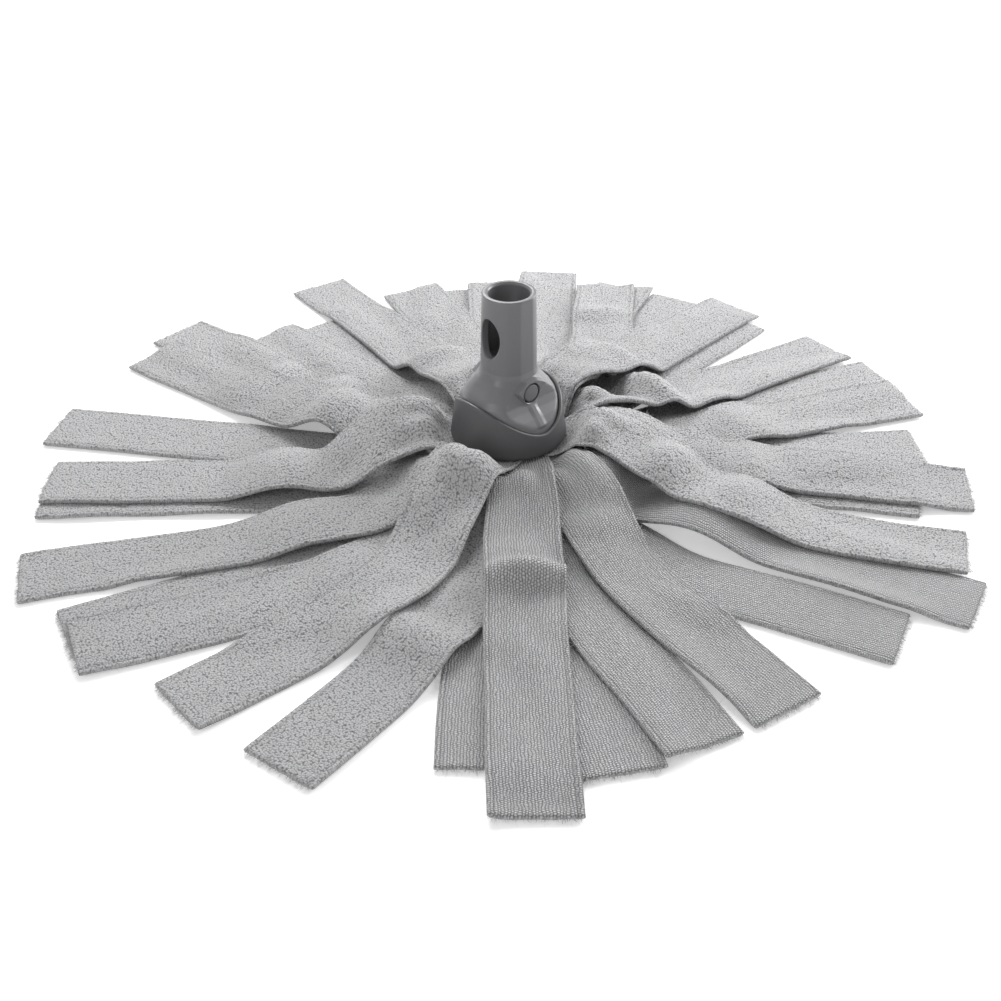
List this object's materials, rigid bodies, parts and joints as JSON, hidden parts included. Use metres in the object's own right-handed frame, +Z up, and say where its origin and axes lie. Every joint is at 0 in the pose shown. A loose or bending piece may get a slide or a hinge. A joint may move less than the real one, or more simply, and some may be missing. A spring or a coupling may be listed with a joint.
{
  "type": "microfibre strip mop head",
  "caption": "Round floor mop head of flat microfibre strips clamped under a plastic cup, with a click-in tubular socket for a handle.",
  "frame": {"origin": "on the floor, under the middle of the socket's bore", "axes": "+Z up along the socket's bore; the snap studs face -Y and +Y; the click window faces -X"},
  "size_m": [0.5749, 0.5886, 0.12],
  "materials": {
    "socket_plastic": "satin moulded grey plastic",
    "cup_plastic": "satin moulded dark grey plastic",
    "stud_plastic": "satin moulded grey plastic",
    "inner_plastic": "matte moulded dark grey plastic",
    "spring_steel": "drawn spring wire",
    "strip_cloth": "looped microfibre pile on one face, fine rib knit on the other"
  },
  "bodies": {
    "head": {"handle_socket": "socket_plastic", "rim_cup": "cup_plastic", "core_post": "inner_plastic", "stud_spring_front": "spring_steel", "stud_spring_back": "spring_steel", "clamp_plate": "inner_plastic", "strip_01": "strip_cloth", "strip_02": "strip_cloth", "strip_03": "strip_cloth", "strip_04": "strip_cloth", "strip_05": "strip_cloth", "strip_06": "strip_cloth", "strip_07": "strip_cloth", "strip_08": "strip_cloth", "strip_09": "strip_cloth", "strip_10": "strip_cloth", "strip_11": "strip_cloth", "strip_12": "strip_cloth", "strip_13": "strip_cloth", "strip_14": "strip_cloth", "strip_15": "strip_cloth", "strip_16": "strip_cloth", "strip_17": "strip_cloth", "strip_18": "strip_cloth"},
    "stud_front": {"snap_stud_front": "stud_plastic"},
    "stud_back": {"snap_stud_back": "stud_plastic"}
  },
  "joints": [
    {"name": "stud_front_press", "type": "slide", "parent": "head", "child": "stud_front", "axis": [0, 1, 0], "range_m": [0, 0.0032], "stiffness_N_per_m": 800, "springref_m": -0.003, "deforming": ["stud_spring_front"]},
    {"name": "stud_back_press", "type": "slide", "parent": "head", "child": "stud_back", "axis": [0, -1, 0], "range_m": [0, 0.0032], "stiffness_N_per_m": 800, "springref_m": -0.003, "deforming": ["stud_spring_back"]}
  ]
}
